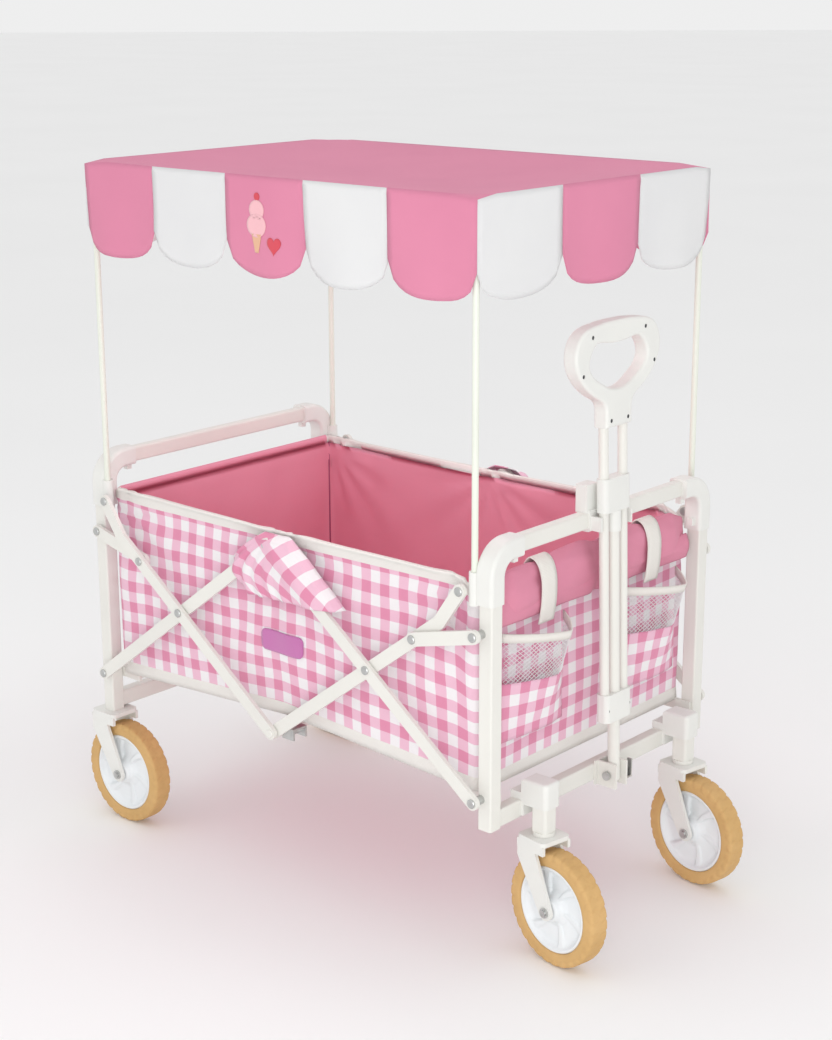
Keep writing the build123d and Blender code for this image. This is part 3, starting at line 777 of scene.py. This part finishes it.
def pocket(name, y_middle):
    """A net pocket with a gingham foot and a bound mouth."""
    share = 0.54
    foot = sheet_of(name + "_foot", 26, 14, lambda i, j: pocket_point(y_middle, i / 26, share * j / 14),
                    lambda i, j: (0.17 * i / 26, 0.095 * j / 14), GINGHAM)
    thicken(foot, 0.0014, 0.0)

    across, up = 19, 20
    points, faces = [], []
    for j in range(up + 1):
        for i in range(across + 1):
            u = min(1.0, (i + 0.5 * (j % 2)) / across)
            points.append(pocket_point(y_middle, u, share + (0.97 - share) * j / up))
    for j in range(up - 1):
        for i in range(1, across):
            right = i if j % 2 == 0 else i + 1
            row = across + 1
            faces.append((j * row + i, (j + 1) * row + right, (j + 2) * row + i, (j + 1) * row + right - 1))
    net = make(name + "_net", points, faces, NET)
    wire = net.modifiers.new("threads", "WIREFRAME")
    wire.thickness = 0.0015
    wire.use_even_offset = False
    settled(net)

    mouth = sheet_of(name + "_binding", 26, 2,
                     lambda i, j: pocket_point(y_middle, i / 26, 0.92 + 0.04 * j, 0.0010),
                     lambda i, j: (0.011 * j / 2, 0.18 * i / 26), TAPE)
    thicken(mouth, 0.0026, 0.0)
    for piece in (foot, net, mouth):
        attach(piece, "front_frame")


# ------------------------------------------------------------ canopy
FLAP_STEPS = 14


def flap_depth(u):
    """A flap is U-shaped: straight beside its neighbours, round at its foot."""
    return 0.66 + 0.34 * math.sqrt(max(0.0, 1 - abs(2 * u - 1) ** 2.4))


def canopy():
    """One cloth: the sagging top and the valance of separate flaps that hang from its edge."""
    low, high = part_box("canopy_cloth")
    half_x, half_y = (high.x - low.x) / 2, high.y
    middle = (high.x + low.x) / 2
    drop = high.z - low.z
    long_count, short_count, rows = 5, 3, 16
    nx, ny = long_count * FLAP_STEPS, short_count * FLAP_STEPS
    points, faces, marks, corners = [], [], [], []

    def top_point(i, j):
        x, y = 2 * i / nx - 1, 2 * j / ny - 1
        sag = 0.007 * (1 - x * x) * (1 - y * y)
        fold = 0.0016 * noise.noise(Vector((x * 3, y * 2, 5))) * (1 - x ** 8) * (1 - y ** 8)
        corner = 0.005 * max(0.0, abs(x) + abs(y) - 1.86) / 0.14
        return Vector((middle + half_x * x * (1 - 0.02 * corner), half_y * y, high.z - sag + fold - corner))

    for j in range(ny + 1):
        for i in range(nx + 1):
            points.append(top_point(i, j))
    for j in range(ny):
        for i in range(nx):
            a = j * (nx + 1) + i
            ring = (a, a + 1, a + nx + 2, a + nx + 1)
            faces.append(ring)
            marks.append(0)
            corners.append([(points[p].x, points[p].y) for p in ring])
    held = [j * (nx + 1) + i for j in range(ny + 1) for i in range(nx + 1) if i in (0, nx) or j in (0, ny)]
    sides = [
        (long_count, Vector((0, -1, 0)), [i for i in range(nx + 1)], 0),
        (short_count, Vector((1, 0, 0)), [j * (nx + 1) + nx for j in range(ny + 1)], 1),
        (long_count, Vector((0, 1, 0)), [ny * (nx + 1) + nx - i for i in range(nx + 1)], 0),
        (short_count, Vector((-1, 0, 0)), [(ny - j) * (nx + 1) for j in range(ny + 1)], 1),
    ]
    for number, (count, out, edge, first_colour) in enumerate(sides):
        for flap in range(count):
            tops = edge[flap * FLAP_STEPS:(flap + 1) * FLAP_STEPS + 1]
            grid = [tops]
            for r in range(1, rows + 1):
                row = []
                for k, top in enumerate(tops):
                    u, v = k / FLAP_STEPS, r / rows
                    depth = drop * 0.985 * flap_depth(u) * v
                    seed = number * 7 + flap * 1.7
                    billow = 0.006 * math.sin(math.pi * u) * v ** 1.3
                    wave = 0.004 * math.sin(2 * math.pi * u + seed) * v
                    wave += 0.003 * noise.noise(Vector((u * 2, v, seed)))
                    stand = 0.0012 + (0.0015 if flap % 2 else 0.0)
                    row.append(len(points))
                    points.append(points[top] + out * (billow + wave * v + stand) - Vector((0, 0, depth)))
                grid.append(row)
            colour = (flap + first_colour) % 2
            for r in range(rows):
                for k in range(FLAP_STEPS):
                    faces.append((grid[r][k], grid[r + 1][k], grid[r + 1][k + 1], grid[r][k + 1]))
                    marks.append(colour)
                    corners.append([
                        (0.165 * kk / FLAP_STEPS, drop * rr / rows)
                        for rr, kk in ((r, k), (r + 1, k), (r + 1, k + 1), (r, k + 1))
                    ])
    cloth = make("canopy_cover", points, faces, PINK, WHITE, marks=marks, cloth=corners)
    hang(cloth, held)
    thicken(cloth, COVER_CLOTH, 0.0)
    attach(cloth, "canopy_rear")
    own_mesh(cloth)
    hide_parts("canopy_cloth")
    motif(cloth)


def print_on(cover, name, outline, centre, material):
    """A printed patch: a closed outline in X and Z, laid on the near face of the valance."""
    low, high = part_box("canopy_cloth")
    rings, count = 5, len(outline)
    points, faces = [], []
    for ring in range(rings + 1):
        for px, pz in outline:
            x, z = centre[0] + px * ring / rings, centre[1] + pz * ring / rings
            found, spot, _, _ = cover.ray_cast((x, low.y - 0.1, z), (0, 1, 0))
            points.append(Vector((x, (spot.y if found else low.y) - 0.0006, z)))
    for ring in range(rings):
        for k in range(count):
            a, b = ring * count + k, ring * count + (k + 1) % count
            faces.append((a, b, b + count, a + count))
    patch = make(name, points, faces, material)
    mended(patch, merge=0.00001)
    patch.data.shade_smooth()
    thicken(patch, 0.0004, 0.0)
    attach(patch, "canopy_rear")
    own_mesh(patch)


def oval(width, height, steps=28):
    turns = [2 * math.pi * k / steps for k in range(steps)]
    return [(width * math.cos(t), height * math.sin(t)) for t in turns]


def heart(size, steps=36):
    points = []
    for k in range(steps):
        t = 2 * math.pi * k / steps
        height = 13 * math.cos(t) - 5 * math.cos(2 * t) - 2 * math.cos(3 * t) - math.cos(4 * t)
        points.append((size * math.sin(t) ** 3, size * height / 16))
    return points


def motif(cover):
    """Two scoops on a cone beside a heart, with no words, on the middle flap of the near side."""
    low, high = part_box("canopy_cloth")
    x, z = (low.x + high.x) / 2, high.z
    print_on(cover, "print_cone", [(-0.011, 0.012), (0.011, 0.012), (0.004, -0.016), (-0.004, -0.016)],
             (x - 0.016, z - 0.098), CONE_PRINT)
    print_on(cover, "print_scoop_low", oval(0.021, 0.018), (x - 0.016, z - 0.073), PALE_PRINT)
    print_on(cover, "print_scoop_high", oval(0.016, 0.015), (x - 0.015, z - 0.050), PALE_PRINT)
    print_on(cover, "print_cherry", oval(0.006, 0.006), (x - 0.014, z - 0.030), PRINT)
    print_on(cover, "print_heart", heart(0.015), (x + 0.022, z - 0.100), PRINT)


# ------------------------------------------------------------ wheels
def wheel_axis(joint):
    return Vector(JOINTS[joint]["pos_m"]), Vector(JOINTS[joint]["axis"]).normalized()


def revolve(name, section, turns, warp, material, hub, axis):
    """Turns a closed section of (radius, across) about the axle; warp shifts its points with the angle."""
    across = Vector((0, 0, 1)).cross(axis).normalized()
    count = len(section)

    def point(i, j):
        angle = 2 * math.pi * j / turns
        radius, side = warp(*section[i % count], angle)
        return hub + axis * side + (across * math.cos(angle) + Vector((0, 0, 1)) * math.sin(angle)) * radius

    points = [point(i, j) for j in range(turns) for i in range(count)]
    faces = [
        (j * count + i, j * count + (i + 1) % count, ((j + 1) % turns) * count + (i + 1) % count,
         ((j + 1) % turns) * count + i)
        for j in range(turns) for i in range(count)
    ]
    piece = make(name, points, faces, material)
    mended(piece)
    return piece


def tyre(corner, hub, axis):
    node = "tyre_" + corner
    outer = hub.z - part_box(node)[0].z
    half = 0.0165
    bead = 0.0682
    section = []
    steps = 30
    for k in range(steps + 1):
        t = 2 * k / steps - 1
        side = half * math.copysign(abs(math.sin(t * math.pi / 2)) ** 0.75, t)
        crown = outer - 0.0005 - 0.0085 * abs(t) ** 5
        section.append((crown, side))
    shoulder_r = outer - 0.009
    for k in range(1, 7):
        t = k / 7
        belly = 0.0008 * math.sin(math.pi * t)
        section.append((shoulder_r - (shoulder_r - bead) * t, half - 0.0005 + belly))
    section.append((bead, half - 0.001))
    section.append((bead, -half + 0.001))
    for k in range(6, 0, -1):
        t = k / 7
        belly = 0.0008 * math.sin(math.pi * t)
        section.append((shoulder_r - (shoulder_r - bead) * t, -half + 0.0005 - belly))

    def warp(radius, side, angle):
        if radius < outer - 0.0095:
            return radius, side
        lane = side / half
        blocks = 30
        slant = angle * blocks + (2.4 if lane > 0 else -2.4) * abs(lane) + (math.pi if lane > 0 else 0)
        groove = smooth_step(0.62, 0.93, math.sin(slant)) * smooth_step(0.05, 0.25, abs(lane))
        centre = math.exp(-((lane - 0.12 * math.sin(angle * blocks)) / 0.10) ** 2)
        shoulder = 0.0006 * math.sin(angle * blocks + math.pi / 2) * smooth_step(0.8, 1.0, abs(lane))
        worn = 0.0013 * groove + 0.0010 * centre + abs(shoulder) * 0.6
        return radius - worn, side + shoulder * math.copysign(1, lane)

    piece = revolve("tread_" + corner, section, 360, warp, TYRE, hub, axis)
    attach(piece, "wheel_" + corner)
    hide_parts(node)


def rim(corner, hub, axis):
    """Six fan-shaped recesses between broad spokes, a raised lip and a hub boss."""
    node = "rim_" + corner
    hub_half = 0.0205
    reach = 0.0680
    radii = [0.0095, 0.0100, 0.0135, 0.0165, 0.0175, 0.0185, 0.021]
    radii += [0.024 + 0.0035 * k for k in range(10)]
    radii += [0.0585, 0.0605, 0.0620, 0.0635, 0.0650, 0.0665, reach]

    def height(radius, angle):
        boss = hub_half - (hub_half - 0.0095) * smooth_step(0.0160, 0.0200, radius)
        turn = (angle + 7.0 * (radius - 0.02)) % (math.pi / 3)
        spread = abs(turn - math.pi / 6)
        fan = smooth_step(0.045, 0.0, spread - 0.38) if spread > 0.38 else 1.0
        fan *= smooth_step(0.0225, 0.0270, radius) * (1 - smooth_step(0.0560, 0.0600, radius))
        slope = 0.35 + 0.65 * (turn / (math.pi / 3))
        lip = 0.0055 * smooth_step(0.0600, 0.0635, radius)
        lip *= 1 - 0.45 * smooth_step(0.0660, 0.0680, radius)
        return boss - 0.0062 * fan * slope + lip

    section = [(r, 1) for r in radii] + [(r, -1) for r in reversed(radii)]

    def warp(radius, side, angle):
        return radius, side * height(radius, angle * side)

    piece = revolve("rim_disc_" + corner, section, 240, warp, RIM, hub, axis)
    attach(piece, "wheel_" + corner)
    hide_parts(node)


# ------------------------------------------------------------ stage, light and camera
def studio():
    reach = 60
    corners = [(-reach, -reach, 0), (reach, -reach, 0), (reach, reach, 0), (-reach, reach, 0)]
    ground = make("studio_floor", corners, [(0, 1, 2, 3)])
    m = Material("pale_floor")
    m.colour(m.ramp(m.noise(0.8, 2), (0.3, (0.925, 0.925, 0.925)), (0.7, (0.94, 0.94, 0.94))))
    m.shader.inputs["Roughness"].default_value = 0.9
    ground.data.materials.append(m.block)
    world = bpy.data.worlds.new("soft_room")
    world.use_nodes = True
    world.node_tree.nodes["Background"].inputs["Color"].default_value = (1.0, 1.0, 1.0, 1)
    world.node_tree.nodes["Background"].inputs["Strength"].default_value = 0.86
    scene.world = world
    scene.view_settings.view_transform = "Standard"
    lights = [
        ("front", (2.3, -2.5, 1.0), 1.6, 31.0),
        ("left", (-1.4, -3.0, 2.6), 2.4, 7.0),
        ("top", (0.0, 0.4, 4.2), 3.0, 6.0),
        ("inside", (0.02, 0.0, 1.07), 0.34, 1.4),
    ]
    for name, spot, size, power in lights:
        lamp = bpy.data.lights.new(name, "AREA")
        lamp.size = size
        lamp.energy = power
        holder = bpy.data.objects.new(name, lamp)
        holder.location = spot
        holder.rotation_euler = (Vector((-0.05, 0, 0.5)) - Vector(spot)).to_track_quat("-Z", "Y").to_euler()
        scene.collection.objects.link(holder)


def camera():
    """Looks at the tub from its near front corner, slightly from above."""
    turn, rise, roll = math.radians(41.44), math.radians(15.61), math.radians(-0.2)
    distance = 3.232
    target = place(0.0487, 0, 0.5707)
    back = Vector((math.sin(turn) * math.cos(rise), -math.cos(turn) * math.cos(rise), math.sin(rise)))
    right = Vector((math.cos(turn), math.sin(turn), 0))
    up = back.cross(right)
    right, up = (right * math.cos(roll) + up * math.sin(roll), up * math.cos(roll) - right * math.sin(roll))
    lens = bpy.data.cameras.new("camera")
    lens.lens = 67.8
    lens.clip_end = 50
    holder = bpy.data.objects.new("camera", lens)
    holder.matrix_world = Matrix.Translation(target + back * distance) @ Matrix(
        ((right.x, up.x, back.x), (right.y, up.y, back.y), (right.z, up.z, back.z))).to_4x4()
    scene.collection.objects.link(holder)
    scene.camera = holder


finish_cad_nodes()
tub_shell()
side_label()
for side_name, side in (("near", -1), ("far", 1)):
    joint_cover("joint_cover_" + side_name, side)
    front_strap("front_strap_" + side_name, side * STRAP_Y)
    pocket("pocket_" + side_name, side * POCKET_Y)
floor_pad(-1, "floor_half_rear", "floor_board_rear")
floor_pad(1, "floor_half_front", "floor_board_front")
front_roll()
front_flap()
canopy()
for end_name, end in (("rear", -1), ("front", 1)):
    for side_name, side in (("near", -1), ("far", 1)):
        shaded_corner_seam(f"shaded_corner_seam_{end_name}_{side_name}", end, side)
for wheel_end in ("front", "rear"):
    for side_name in ("near", "far"):
        where, axle = wheel_axis(f"spin_{wheel_end}_{side_name}")
        tyre(f"{wheel_end}_{side_name}", where, axle)
        rim(f"{wheel_end}_{side_name}", where, axle)
studio()
camera()
